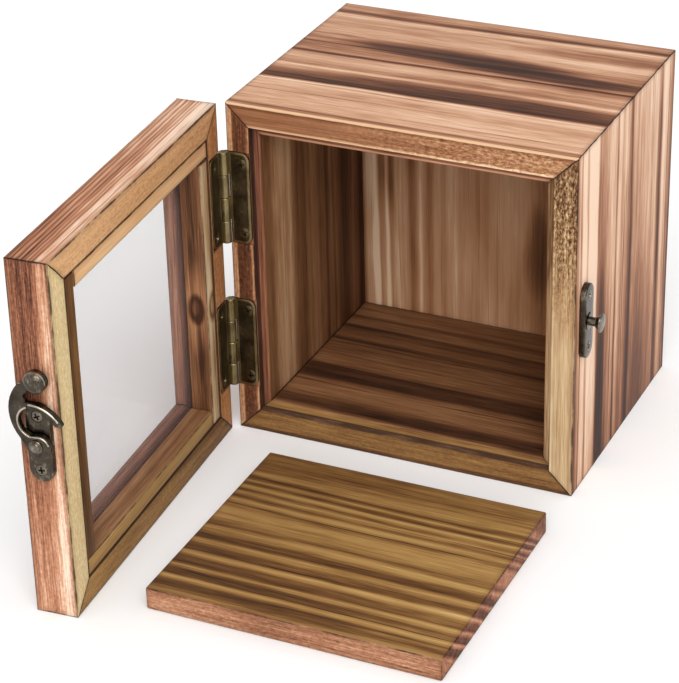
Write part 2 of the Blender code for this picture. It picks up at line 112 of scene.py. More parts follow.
# Latch
HOOK_AXIS = Vector((CASE_WIDTH / 2, DOOR_INNER - 7.4 * MM, JOINTS["latch_hook_pivot"]["pos_m"][2]))
POST_AXIS = Vector((CASE_WIDTH / 2, FRONT + 8.3 * MM, HOOK_AXIS.z))
PLATE_LENGTH = 28.6 * MM
PLATE_WIDTH = 8.8 * MM
PLATE_FACE = 2.2 * MM
PLATE_SCREW_OFFSET = 10 * MM
HOOK_BACK = 2.7 * MM
HOOK_FACE = 4.5 * MM
KNOB_PLACE = (1.7, 24)
KNOB_RADIUS = 3.9
KNOB_HALF_THICKNESS = 2.05
SCREW_HEAD_RADIUS = 2 * MM

# Gaps that show as dark lines, and how far worn edges are rounded
JOINT_GAP = 0.07 * MM
FIT_GAP = 0.25 * MM
WORN = 0.55 * MM
CRISP = 0.12 * MM


# Meshes


def loft(rings):
    """A bmesh through rings of points, each joined to the next, with flat ends."""
    bm = bmesh.new()
    loops = [[bm.verts.new(point) for point in ring] for ring in rings]
    for lower, upper in zip(loops, loops[1:]):
        for index, corner in enumerate(lower):
            following = (index + 1) % len(lower)
            bm.faces.new((corner, lower[following], upper[following], upper[index]))
    bm.faces.new(loops[0])
    bm.faces.new(loops[-1])
    bmesh.ops.recalc_face_normals(bm, faces=bm.faces)
    return bm


def to_object(bm, name="solid"):
    """Turn a bmesh into an object."""
    mesh = bpy.data.meshes.new(name)
    bm.to_mesh(mesh)
    bm.free()
    item = bpy.data.objects.new(name, mesh)
    bpy.context.scene.collection.objects.link(item)
    return item


def turned(profile, segments=48, closed=False):
    """A solid turned about Z from (radius, height) points: base to top, or round a ring if closed."""
    bm = bmesh.new()
    angles = [2 * math.pi * step / segments for step in range(segments)]
    rings = []
    for radius, height in profile:
        if radius > 0:
            ring = [(radius * math.cos(angle), radius * math.sin(angle), height) for angle in angles]
            rings.append([bm.verts.new(point) for point in ring])
    pairs = list(zip(rings, rings[1:])) + ([(rings[-1], rings[0])] if closed else [])
    for lower, upper in pairs:
        for index in range(segments):
            following = (index + 1) % segments
            bm.faces.new((lower[index], lower[following], upper[following], upper[index]))
    if not closed:
        for ring, height in ((rings[0], profile[0][1]), (rings[-1], profile[-1][1])):
            tip = bm.verts.new((0, 0, height))
            for index in range(segments):
                bm.faces.new((tip, ring[index], ring[(index + 1) % segments]))
    bmesh.ops.recalc_face_normals(bm, faces=bm.faces)
    return to_object(bm)


def arc(centre, radius, start_deg, end_deg, step_deg=7):
    """Points along an arc, in the plane and units of its centre."""
    steps = max(2, round(abs(end_deg - start_deg) / step_deg))
    angles = [math.radians(start_deg + (end_deg - start_deg) * step / steps) for step in range(steps + 1)]
    return [(centre[0] + radius * math.cos(a), centre[1] + radius * math.sin(a)) for a in angles]


def dome(radius, edge, top, steps=8):
    """Profile points of a cap that curves from its edge up to its top."""
    angles = [math.pi / 2 * step / steps for step in range(steps)]
    return [(radius * math.cos(a), edge + (top - edge) * math.sin(a)) for a in angles] + [(0, top)]


def modify(item, kind, **settings):
    """Add a modifier with its settings."""
    modifier = item.modifiers.new(kind.title(), kind)
    for name, value in settings.items():
        setattr(modifier, name, value)


def freeze(item, smooth_deg=32):
    """Apply the modifiers, and shade smooth except across sharp edges."""
    mesh = bpy.data.meshes.new_from_object(item.evaluated_get(bpy.context.evaluated_depsgraph_get()))
    item.modifiers.clear()
    item.data = mesh
    mesh.shade_smooth()
    mesh.set_sharp_from_angle(angle=math.radians(smooth_deg))
    return item


def combine(item, operation, *others):
    """Join solids onto an object, or cut them out of it, and remove them."""
    for other in others:
        modify(item, "BOOLEAN", operation=operation, object=other, solver="EXACT")
    freeze(item)
    for other in others:
        bpy.data.objects.remove(other)
    return item


def rounded(item, weights, radius, segments=3):
    """Round each edge to its weight times a radius. weights maps an edge's index to its weight."""
    layer = item.data.attributes.new("bevel_weight_edge", "FLOAT", "EDGE")
    for index, weight in weights.items():
        layer.data[index].value = weight
    modify(item, "BEVEL", width=radius, segments=segments, limit_method="WEIGHT", use_clamp_overlap=True)
    return freeze(item)


def place(item, matrix):
    """Move a solid that isn't a piece yet, in its mesh."""
    item.data.transform(matrix)
    return item


def piece(item, name, body, material, nodes, matrix=Matrix()):
    """Make an object the visible piece for CAD nodes, riding on a body."""
    item.name = name
    item.data.name = name
    item.data.materials.clear()
    item.data.materials.append(material)
    item.matrix_world = matrix
    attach(item, body)
    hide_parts(*nodes)
    return item


# Shader patterns


def linear(colour):
    """A colour as picked in an image editor, 0 to 255, as the shader needs it."""
    shares = [value / 255 for value in colour]
    return (*[s / 12.92 if s <= 0.04045 else ((s + 0.055) / 1.055) ** 2.4 for s in shares], 1)


class Pattern:
    """A material whose pattern is built up one node at a time. Each call returns the new node's output."""

    def __init__(self, name):
        self.material = bpy.data.materials.new(name)
        self.material.use_nodes = True
        self.nodes = self.material.node_tree.nodes
        self.surface = self.nodes["Principled BSDF"].inputs

    def node(self, kind, settings=(), **inputs):
        node = self.nodes.new(kind)
        for name, value in dict(settings).items():
            setattr(node, name, value)
        for name, value in inputs.items():
            self.feed(node.inputs[int(name[1:]) if name[0] == "_" else name.replace("_", " ")], value)
        return node

    def feed(self, socket, value):
        if isinstance(value, bpy.types.NodeSocket):
            self.material.node_tree.links.new(value, socket)
        else:
            socket.default_value = value

    def math(self, operation, first, second=0.0):
        return self.node("ShaderNodeMath", {"operation": operation}, _0=first, _1=second).outputs[0]

    def add(self, first, second):
        return self.math("ADD", first, second)

    def times(self, first, second):
        return self.math("MULTIPLY", first, second)

    def least(self, first, second):
        return self.math("MINIMUM", first, second)

    def most(self, first, second):
        return self.math("MAXIMUM", first, second)

    def step(self, value, start, end):
        """0 below start, 1 above end and a smooth rise between. It falls if end is below start."""
        low, high = (start, end) if start < end else (end, start)
        node = self.node("ShaderNodeMapRange", {"interpolation_type": "SMOOTHSTEP"}, Value=value)
        for name, bound in (("From Min", low), ("From Max", high)):
            node.inputs[name].default_value = bound
        if start > end:
            node.inputs["To Min"].default_value, node.inputs["To Max"].default_value = 1, 0
        return node.outputs["Result"]

    def own_coordinates(self):
        return self.node("ShaderNodeTexCoord").outputs["Object"]

    def split(self, vector):
        return self.node("ShaderNodeSeparateXYZ", Vector=vector).outputs

    def noise(self, vector, stretch, seed, detail=2.0, roughness=0.5):
        """Noise from -0.5 to 0.5. stretch is how many features there are in a metre along each axis."""
        place = (seed, seed * 1.7, -seed)
        mapping = self.node("ShaderNodeMapping", Vector=vector, Scale=stretch, Location=place)
        noise = self.node("ShaderNodeTexNoise", Vector=mapping.outputs[0], Scale=1.0, Detail=detail,
                          Roughness=roughness)
        return self.math("SUBTRACT", noise.outputs["Fac"], 0.5)

    def ramp(self, value, stops):
        """A colour or grey for each value. stops is a list of (value, colour or grey)."""
        node = self.node("ShaderNodeValToRGB", Fac=value)
        elements = node.color_ramp.elements
        while len(elements) < len(stops):
            elements.new(0.5)
        for element, (position, colour) in zip(elements, stops):
            element.position = position
            element.color = colour if isinstance(colour, tuple) else (colour, colour, colour, 1)
        return node.outputs["Color"]

    def mix(self, factor, first, second):
        node = self.node("ShaderNodeMix", {"data_type": "RGBA"})
        for socket, value in ((0, factor), (6, first), (7, second)):
            self.feed(node.inputs[socket], value)
        return node.outputs[2]

    def bump(self, height, strength, distance):
        node = self.node("ShaderNodeBump", Height=height, Strength=strength, Distance=distance)
        self.feed(self.surface["Normal"], node.outputs["Normal"])


# Wood. Each palette runs from burnt to pale, in the colours of an image editor.

PINK = [(56, 34, 26), (106, 65, 45), (162, 111, 81), (208, 163, 131), (238, 206, 180)]
TAN = [(112, 66, 34), (168, 112, 68), (208, 156, 108), (226, 182, 134), (240, 206, 164)]
GOLD = [(54, 28, 12), (112, 78, 48), (170, 134, 96), (206, 178, 138), (238, 218, 182)]
RED = [(66, 34, 22), (122, 74, 52), (168, 112, 82), (204, 154, 122), (238, 210, 186)]
DARK = [(40, 22, 12), (76, 46, 28), (112, 74, 46), (148, 106, 72), (190, 152, 116)]
OLIVE = [(60, 36, 18), (108, 72, 38), (152, 113, 64), (180, 143, 86), (212, 180, 126)]
BROWN = [(60, 34, 18), (108, 70, 44), (156, 108, 74), (184, 142, 108), (222, 190, 158)]
RUST = [(50, 26, 14), (108, 64, 40), (160, 110, 76), (206, 162, 122), (244, 214, 176)]
PALE = [(146, 104, 56), (188, 150, 96), (214, 182, 130), (226, 202, 152), (240, 222, 180)]
SCORCHED = (92, 56, 34)
CHARRED = (44, 26, 18)
# Pale wood for the top's front edge: partly worn wood and partly a painted highlight.
RUBBED_AND_HIGHLIT = (228, 186, 146)


@dataclass
class Zone:
    """A face of a board with its own palette: where a coordinate passes from start to end.

    shift makes it paler, contrast scales its bands and grain scales its finer figure. A tone along X makes it
    paler along X; on the right side's face this is painted light, the board paler higher up where more light
    falls. speckle mottles it, and speckled says between which places along X the mottling comes in. The last
    list holds (start, end, tone): tones added as Y passes from start to end, painted highlight lines along
    edges and painted shade along others."""

    palette: list
    axis: str = "X"
    start: float = 0.0
    end: float = 0.0
    shift: float = 0.0
    contrast: float = 1.0
    grain: float = 1.0
    speckle: float = 0.0
    speckled: tuple = ()
    fade: float = 0.0
    edge_light_and_shade: tuple = ()


def wood(name, size, across, bands, zones, seed, bend, slope=0.0, streaks=0.3, fibres=0.3, patches=0.2,
         lines=0.3, clouds=(), shaded_gaps=(), burn=0.9, burn_width=0.5 * MM, edge_rubbed_and_highlit=0.0, mitred=True):
    """Pine sawn along X, with Y its thickness from 0 up and Z its width from 0 down, and size its own size.

    across is (per metre of Y, per metre of Z), which with the slope per metre of X gives each point its place
    in bands, a list of (place, tone). Tones run from 0, burnt, to 1, pale. bend is how far the bands wander.
    Later zones cover earlier ones. clouds is a list of (x, place, length, width, tone): spindles that are
    darker, or lighter, by a tone. The list after clouds holds places along Y where a charred line runs:
    painted shade in the inner corner of a rebate and in the gap beside a bead. Another number makes the
    front outer edge pale in stretches, partly worn wood and partly a painted highlight."""
    pattern = Pattern(name)
    own = pattern.own_coordinates()
    x, y, z = pattern.split(own)

    wander = pattern.noise(own, (9, 26, 26), seed, detail=3)
    band = pattern.add(pattern.times(y, across[0]), pattern.times(z, across[1]))
    band = pattern.add(band, pattern.times(x, slope))
    band = pattern.add(band, pattern.times(wander, 2 * bend))
    broad = pattern.ramp(band, bands)

    # Thin dark growth lines run with the bands, as far apart as noise across the bands puts them.
    growth = pattern.node("ShaderNodeCombineXYZ", X=pattern.times(x, 4.0), Y=band).outputs[0]
    line = pattern.noise(growth, (1, 55, 1), seed + 2, detail=3, roughness=0.62)
    dark_line = pattern.step(line, 0.07, 0.2)

    # The finer figure, from streaks a few millimetres apart down to fibres and specks
    streak = pattern.noise(own, (7, 420, 420), seed + 3, detail=4, roughness=0.62)
    fibre = pattern.noise(own, (80, 2200, 2200), seed + 5, detail=3)
    patch = pattern.noise(own, (16, 60, 60), seed + 8, detail=2)
    speck = pattern.noise(own, (520, 1100, 1100), seed + 11, detail=4, roughness=0.75)
    detail = pattern.add(pattern.times(streak, 2 * streaks), pattern.times(fibre, 2 * fibres))
    detail = pattern.add(detail, pattern.times(patch, 2 * patches))
    detail = pattern.add(detail, pattern.times(dark_line, -lines))
    for cloud_x, place, length, width, tone in clouds:
        along = pattern.times(pattern.math("SUBTRACT", x, cloud_x), 1 / length)
        out = pattern.times(pattern.math("SUBTRACT", band, place), 1 / width)
        distance = pattern.add(pattern.times(along, along), pattern.times(out, out))
        detail = pattern.add(detail, pattern.times(pattern.step(distance, 1.0, 0.1), tone))

    colour = None
    for zone in zones:
        figure = pattern.times(pattern.math("SUBTRACT", broad, 0.5), zone.contrast)
        tone = pattern.add(figure, 0.5 + zone.shift)
        tone = pattern.add(tone, pattern.times(detail, zone.grain))
        if zone.speckle:
            amount = 2 * zone.speckle
            if zone.speckled:
                amount = pattern.times(pattern.step(x, *zone.speckled), amount)
            tone = pattern.add(tone, pattern.times(speck, amount))
        # A tone that rises along X; on the right side's face it is painted light, paler higher up.
        if zone.fade:
            middle = pattern.add(pattern.times(x, 1 / size[0]), -0.5)
            tone = pattern.add(tone, pattern.times(middle, zone.fade))
        # Painted highlight lines along some edges, and painted shade along others.
        for start, end, edge_tone in zone.edge_light_and_shade:
            tone = pattern.add(tone, pattern.times(pattern.step(y, start, end), edge_tone))
        stops = [(index / 4, linear(shade)) for index, shade in enumerate(zone.palette)]
        shade = pattern.ramp(tone, stops)
        if colour is None:
            colour = shade
        else:
            within = pattern.step({"X": x, "Y": y, "Z": z}[zone.axis], zone.start, zone.end)
            colour = pattern.mix(within, colour, shade)

    # The torch burns the edges most. The second least distance to a side is the distance to an edge.
    to_y = pattern.least(y, pattern.math("SUBTRACT", size[1], y))
    to_z = pattern.least(pattern.times(z, -1.0), pattern.add(z, size[2]))
    inset = y if mitred else 0.0
    to_x = pattern.least(pattern.math("SUBTRACT", x, inset),
                         pattern.math("SUBTRACT", pattern.math("SUBTRACT", size[0], x), inset))
    edge = pattern.most(pattern.least(to_y, to_z), pattern.least(pattern.most(to_y, to_z), to_x))
    ragged = pattern.noise(own, (90, 300, 300), seed + 14, detail=3, roughness=0.65)
    edge = pattern.add(edge, pattern.times(ragged, 2.2 * burn_width))
    scorched = pattern.times(pattern.step(edge, 5 * burn_width, 0), 0.35 * burn)
    # Each place in this list darkens a line along Y to charred: painted shade in a rebate's inner corner and
    # in the gap beside a bead.
    for shaded_gap in shaded_gaps:
        beside = pattern.math("ABSOLUTE", pattern.math("SUBTRACT", y, shaded_gap))
        edge = pattern.least(edge, pattern.add(beside, pattern.times(ragged, 0.3 * MM)))
    charred = pattern.times(pattern.step(edge, burn_width, 0.3 * burn_width), burn)
    colour = pattern.mix(scorched, colour, linear(SCORCHED))
    colour = pattern.mix(charred, colour, linear(CHARRED))
    # The front outer edge turns pale in stretches: partly worn wood and partly a painted highlight along the
    # edge.
    if edge_rubbed_and_highlit:
        corner = pattern.add(pattern.most(y, pattern.times(z, -1.0)), pattern.times(ragged, 0.6 * MM))
        worn = pattern.times(pattern.step(corner, 0.9 * MM, 0.6 * MM), edge_rubbed_and_highlit)
        colour = pattern.mix(worn, colour, linear(RUBBED_AND_HIGHLIT))

    pattern.feed(pattern.surface["Base Color"], colour)
    roughness = pattern.add(pattern.times(fibre, 0.3), pattern.add(pattern.times(streak, -0.25), 0.62))
    pattern.feed(pattern.surface["Roughness"], roughness)
    pattern.surface["Specular IOR Level"].default_value = 0.18
    relief = pattern.add(pattern.times(fibre, 0.5), pattern.add(streak, pattern.times(dark_line, -0.25)))
    pattern.bump(relief, 0.4, 0.12 * MM)
    return pattern.material


def metal(name, recess, body, bright, roughness, seed, worn=None):
    """Cast brass under a dark patina. worn is four heights: it turns bright between the first two, a painted
    highlight on raised parts that also stands for metal worn bright, and dark again between the last two."""
    pattern = Pattern(name)
    own = pattern.own_coordinates()
    cloud = pattern.noise(own, (180, 180, 180), seed, detail=4, roughness=0.6)
    scratch = pattern.noise(own, (1400, 500, 2600), seed + 4, detail=3, roughness=0.6)
    tone = pattern.add(pattern.times(cloud, 0.8), pattern.add(pattern.times(scratch, 0.3), 0.42))
    # Raised parts turn brighter: a painted highlight that also stands for metal worn bright; higher still it
    # darkens again.
    if worn:
        height = pattern.split(own)[2]
        tone = pattern.add(tone, pattern.times(pattern.step(height, *worn[:2]), 0.36))
        tone = pattern.add(tone, pattern.times(pattern.step(height, *worn[2:]), -0.3))
    stops = [(0.15, linear(recess)), (0.5, linear(body)), (0.85, linear(bright))]
    pattern.feed(pattern.surface["Base Color"], pattern.ramp(tone, stops))
    rough = pattern.add(pattern.times(cloud, 0.25), pattern.add(pattern.times(scratch, 0.25), roughness))
    pattern.feed(pattern.surface["Roughness"], rough)
    pattern.surface["Metallic"].default_value = 1
    pattern.bump(pattern.add(cloud, pattern.times(scratch, 0.6)), 0.25, 0.08 * MM)
    return pattern.material


def glass():
    """A thin clear pane with faint smears. Its slight grey is partly the glass's tint and partly a painted
    reflection of a darker room.
    """
    pattern = Pattern("pane_glass")
    own = pattern.own_coordinates()
    smear = pattern.noise(own, (30, 30, 60), 2.0, detail=4)
    # The grey base colour, seen through the low alpha, is partly tint and partly a painted reflection of a
    # darker room.
    pattern.surface["Base Color"].default_value = linear((176, 166, 168))
    pattern.feed(pattern.surface["Roughness"], pattern.add(pattern.times(smear, 0.08), 0.06))
    pattern.surface["Alpha"].default_value = 0.17
    pattern.surface["IOR"].default_value = 1.5
    return pattern.material


# Wooden pieces


def member_matrix(corner, turn, near_face):
    """Where a member lies: X along it, Y in from the frame's outer edge and Z out of its near face."""
    cosine = round(math.cos(turn * math.pi / 2))
    sine = round(math.sin(turn * math.pi / 2))
    matrix = Matrix(((cosine, -sine, 0), (0, 0, -1), (sine, cosine, 0))).to_4x4()
    matrix.translation = (corner[0], near_face, corner[1])
    return matrix


def prism(outline, length, mitre, worn=WORN, end=CRISP):
    """A bar along X from an outline of (Y, Z) points, its long edges worn and its end edges crisp.

    mitre is 1 for ends cut at 45 degrees and 0 for square ones."""
    gap = JOINT_GAP if mitre else 0
    starts = [(mitre * y + gap, y, z) for y, z in outline]
    ends = [(length - mitre * y - gap, y, z) for y, z in outline]
    item = to_object(loft([starts, ends]))
    weights = {}
    area = sum(a[0] * b[1] - b[0] * a[1] for a, b in zip(outline, outline[1:] + outline[:1]))
    count = len(outline)
    for edge in item.data.edges:
        low, high = sorted(edge.vertices)
        if high - low == count:
            before, here, after = (Vector(outline[(low + step) % count]) for step in (-1, 0, 1))
            turn = (here - before).cross(after - here)
            weights[edge.index] = 1 if turn * area > 0 else 0
        else:
            weights[edge.index] = end / worn
    return rounded(item, weights, worn)


def cut_block(low, high):
    """A box to cut with, between two corners."""
    outline = [(low[0], low[1]), (high[0], low[1]), (high[0], high[1]), (low[0], high[1])]
    return to_object(loft([[(x, y, z) for x, y in outline] for z in (low[2], high[2])]))


def hinge_pockets(mirrored):
    """Cutters for the pockets that the leaves lie in, on the case or mirrored onto the closed door."""
    pockets = []
    for label in ("upper", "lower"):
        low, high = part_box(f"{label}_hinge_case_leaf")
        faces = [FRONT - 2 * MM, high.y + FIT_GAP]
        if mirrored:
            faces = sorted(2 * PIN_AXIS.y - face for face in faces)
        pockets.append(cut_block((low.x - 2 * MM, faces[0], low.z - FIT_GAP),
                                 (high.x + FIT_GAP, faces[1], high.z + FIT_GAP)))
    return pockets


def build_case():
    """The case's four boards and its back panel."""
    face = BOARD_THICKNESS - REBATE_WIDTH
    outline = [(0, 0), (face, 0), (face, -REBATE_DEPTH), (BOARD_THICKNESS, -REBATE_DEPTH),
               (BOARD_THICKNESS, -CASE_DEPTH), (0, -CASE_DEPTH)]
    front = dict(axis="Z", start=-0.7 * MM, end=-0.15 * MM)
    rebate = dict(axis="Y", start=face - 0.1 * MM, end=face + 0.3 * MM)
    # The boards' inner faces take the DARK palette: painted shade within the case.
    shaded_inside = dict(axis="Y", start=BOARD_THICKNESS - 0.6 * MM, end=BOARD_THICKNESS - 0.1 * MM)
    top_bands = [(0.0, 0.4), (0.01, 0.15), (0.02, 0.66), (0.035, 0.35), (0.045, 0.7), (0.12, 0.76),
                 (0.2, 0.66), (0.262, 0.92), (0.283, 0.08), (0.33, 0.26), (0.38, 0.6), (0.4, 0.84),
                 (0.42, 0.5), (0.48, 0.68), (0.525, 0.56), (0.535, 0.0), (0.55, 0.6), (0.6, 0.48),
                 (0.68, 0.5), (0.76, 0.78), (0.86, 0.62), (0.905, 0.86), (0.925, 0.1), (0.95, 0.6),
                 (1.0, 0.68)]
    top_clouds = [(0.07, 0.66, 0.055, 0.075, -0.42), (0.03, 0.6, 0.05, 0.05, -0.4),
                  (0.02, 0.82, 0.04, 0.05, -0.25), (0.05, 0.36, 0.08, 0.06, -0.2)]
    right_bands = [(0.0, 0.05), (0.02, 0.35), (0.045, 0.7), (0.055, 0.4), (0.07, 0.86), (0.1, 0.82),
                   (0.115, 0.5), (0.13, 0.88), (0.2, 0.86), (0.23, 0.34), (0.31, 0.4), (0.36, 0.66),
                   (0.4, 0.6), (0.41, 0.2), (0.43, 0.7), (0.475, 0.42), (0.5, 0.66), (0.545, 0.3),
                   (0.56, 0.0), (0.58, 0.46), (0.66, 0.52), (0.75, 0.56), (0.84, 0.6), (0.875, 0.24),
                   (0.91, 0.76), (0.95, 0.66), (1.0, 0.25)]
    right_clouds = [(0.02, 0.27, 0.08, 0.05, -0.3), (0.03, 0.7, 0.06, 0.14, -0.12),
                    (0.09, 0.87, 0.05, 0.04, -0.2), (0.12, 0.07, 0.03, 0.1, -0.12)]
    floor_bands = [(0.03, 0.7), (0.05, 0.6), (0.08, 0.1), (0.12, 0.15), (0.16, 0.5), (0.25, 0.5),
                   (0.29, 0.1), (0.36, 0.05), (0.4, 0.45), (0.5, 0.4), (0.55, 0.45), (0.57, 0.1),
                   (0.6, 0.5), (0.66, 0.35), (0.68, 0.15), (0.7, 0.55), (0.74, 0.5), (0.755, 0.2),
                   (0.78, 0.55), (0.85, 0.5), (1.0, 0.6)]
    left_bands = [(0.03, 0.35), (0.1, 0.4), (0.2, 0.8), (0.26, 0.75), (0.33, 0.3), (0.38, 0.35),
                  (0.45, 0.62), (0.54, 0.5), (0.565, 0.1), (0.58, 0.5), (0.64, 0.5), (0.7, 0.15),
                  (0.75, 0.22), (0.79, 0.55), (0.83, 0.4), (0.85, 0.05), (0.9, 0.6), (1.0, 0.4)]
    # Tones across Y on the front faces and rebates paint highlight lines along edges and shade along others.
    looks = {
        "case_bottom": (floor_bands, (), [
            Zone(PINK), Zone(OLIVE, **rebate, shift=-0.12, contrast=0.3),
            Zone(DARK, **shaded_inside, shift=0.06, contrast=0.95),
            Zone(OLIVE, **front, shift=-0.18, contrast=0.1, grain=0.8, speckle=0.2,
                 edge_light_and_shade=[(2.2 * MM, 1.2 * MM, -0.2)]),
        ], 4.0),
        # The right side's face is paler higher up: painted light falling on its upper part.
        "case_right_side": (right_bands, right_clouds, [
            Zone(PINK, shift=0.07, contrast=1.2, fade=0.5), Zone(GOLD, **rebate, shift=-0.1, contrast=0.3),
            Zone(DARK, **shaded_inside, shift=0.1, contrast=0.8),
            Zone(GOLD, **front, shift=0.06, contrast=0.1, speckle=1.3, speckled=(0.055, 0.115),
                 fade=-0.3, edge_light_and_shade=[(7.4 * MM, 8.4 * MM, 0.2)]),
        ], 7.0),
        "case_top": (top_bands, top_clouds, [
            Zone(PINK),
            Zone(RED, **rebate, shift=-0.25, contrast=0.3, edge_light_and_shade=[(10.6 * MM, 11.2 * MM, 0.42)]),
            Zone(DARK, **shaded_inside, shift=0.05, contrast=0.8),
            Zone(RUST, **front, contrast=0.1, grain=0.7, speckle=0.8, speckled=(0.12, 0.02), fade=-0.16,
                 edge_light_and_shade=[(7.2 * MM, 8.2 * MM, 0.42), (2.6 * MM, 1.2 * MM, -0.14)]),
        ], 2.0),
        "case_left_side": (left_bands, (), [
            Zone(PINK),
            Zone(RED, **rebate, shift=-0.32, contrast=0.3, edge_light_and_shade=[(10.8 * MM, 11.4 * MM, 0.2)]),
            Zone(DARK, **shaded_inside, shift=0.12, contrast=0.95),
            Zone(RUST, **front, shift=-0.28, contrast=0.3, grain=0.8, speckle=0.4,
                 edge_light_and_shade=[(2.8 * MM, 2.0 * MM, 0.5), (7.4 * MM, 8.4 * MM, 0.36)]),
        ], 13.0),
    }
    corners = [(CASE_LOW.x, 0), (CASE_HIGH.x, 0), (CASE_HIGH.x, CASE_HEIGHT), (CASE_LOW.x, CASE_HEIGHT)]
    for turn, (name, (bands, clouds, zones, seed)) in enumerate(looks.items()):
        length = CASE_HEIGHT if turn % 2 else CASE_WIDTH
        # A charred line in each rebate's inner corner is painted shade, and the top's pale front edge is
        # partly worn wood and partly a painted highlight.
        material = wood(f"{name}_wood", (length, BOARD_THICKNESS, CASE_DEPTH), (1.5, -1 / CASE_DEPTH),
                        bands, zones, seed, bend=0.02, slope=0.12, clouds=clouds,
                        shaded_gaps=(face + 0.2 * MM,), edge_rubbed_and_highlit=0.85 if name == "case_top" else 0.0)
        matrix = member_matrix(corners[turn], turn, FRONT)
        board = prism(outline, length, 1)
        if name == "case_left_side":
            to_own = matrix.inverted()
            combine(board, "DIFFERENCE", *[place(pocket, to_own) for pocket in hinge_pockets(False)])
        piece(board, name + "_board", "case", material, [name], matrix)

    low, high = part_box("case_back_panel")
    size = high - low
    bands = [(0.0, 0.1), (0.025, 0.7), (0.06, 0.82), (0.072, 0.2), (0.09, 0.25), (0.1, 0.7),
             (0.112, 0.15), (0.125, 0.3), (0.14, 0.8), (0.17, 0.7), (0.19, 0.2), (0.205, 0.3),
             (0.226, 0.72), (0.26, 0.3), (0.275, 0.4), (0.295, 0.62), (0.32, 0.4), (0.36, 0.6),
             (0.45, 0.52), (0.55, 0.62), (0.62, 0.58), (0.66, 0.4), (0.7, 0.3), (0.74, 0.6),
             (0.86, 0.5), (0.93, 0.65), (1.0, 0.3)]
    clouds = [(0.02, 0.09, 0.04, 0.06, 0.4), (0.03, 0.2, 0.04, 0.05, 0.15),
              (0.035, 0.68, 0.025, 0.06, -0.2)]
    material = wood("case_back_panel_wood", (size.z, size.x, size.y), (1 / size.x, 6), bands,
                    [Zone(BROWN, shift=0.1, contrast=0.95)], 17.0, bend=0.02, slope=0.1, streaks=0.24,
                    fibres=0.12, patches=0.34, lines=0.2, clouds=clouds, burn=0.4, mitred=False)
    panel = prism([(0, 0), (size.x, 0), (size.x, -size.y), (0, -size.y)], size.z, 0, 0.3 * MM)
    matrix = Matrix(((0, 1, 0), (0, 0, -1), (1, 0, 0))).to_4x4()
    matrix.translation = (low.x, low.y, low.z)
    piece(panel, "case_back_board", "case", material, ["case_back_panel"], matrix)


